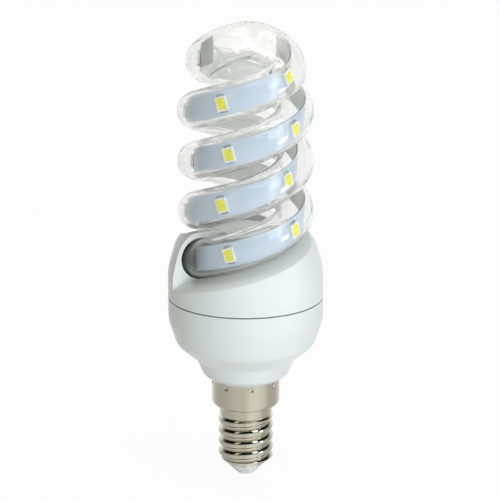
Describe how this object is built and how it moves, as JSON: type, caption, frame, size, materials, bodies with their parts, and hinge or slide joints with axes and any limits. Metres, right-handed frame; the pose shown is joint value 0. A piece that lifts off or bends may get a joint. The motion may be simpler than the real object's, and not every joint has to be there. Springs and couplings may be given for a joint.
{
  "type": "led tube bulb",
  "caption": "Clear glass spiral bulb with a light strip wound inside each arm, on a white housing with helical ramps and a small nickel screw cap.",
  "frame": {"origin": "on the lamp axis, at the face of the end contact", "axes": "+Z along the lamp axis from the cap to the top of the spiral, -Y towards the front of the picture, +X to its right"},
  "size_m": [0.0386, 0.0386, 0.1165],
  "materials": {
    "contact_metal": "satin",
    "insulator": "matt",
    "nickel": "plated, semi-bright",
    "housing_white": "smooth moulded",
    "tube_glass": "clear",
    "strip_white": "satin film",
    "led_white": "matt",
    "led_phosphor": "glossy gel",
    "board": "solder mask",
    "sleeve_dark": "heat-shrink sleeve",
    "ferrite": "matt",
    "copper_wire": "enamelled",
    "film_resin": "dipped resin",
    "package_black": "moulded",
    "resistor_body": "coated",
    "chip_ceramic": "fired",
    "wire_red": "sleeved wire",
    "wire_blue": "sleeved wire",
    "wire_white": "sleeved wire"
  },
  "bodies": {
    "root": {"end_contact": "contact_metal", "cap_insulator": "insulator", "screw_shell": "nickel", "lower_housing": "housing_white", "upper_cover": "housing_white", "glass_arm_a": "tube_glass", "glass_arm_b": "tube_glass", "light_strip_a": "strip_white", "light_strip_b": "strip_white", "led_bodies_a": "led_white", "led_bodies_b": "led_white", "led_windows_a": "led_phosphor", "led_windows_b": "led_phosphor", "strip_leads_a": "wire_white", "strip_leads_b": "wire_white", "driver_board": "board", "bulk_capacitor": "sleeve_dark", "choke_core": "ferrite", "choke_winding": "copper_wire", "film_capacitor": "film_resin", "bridge_rectifier": "package_black", "driver_chip": "package_black", "fuse_resistor": "resistor_body", "chip_resistors": "chip_ceramic", "live_lead": "wire_red", "neutral_lead": "wire_blue"}
  },
  "joints": []
}
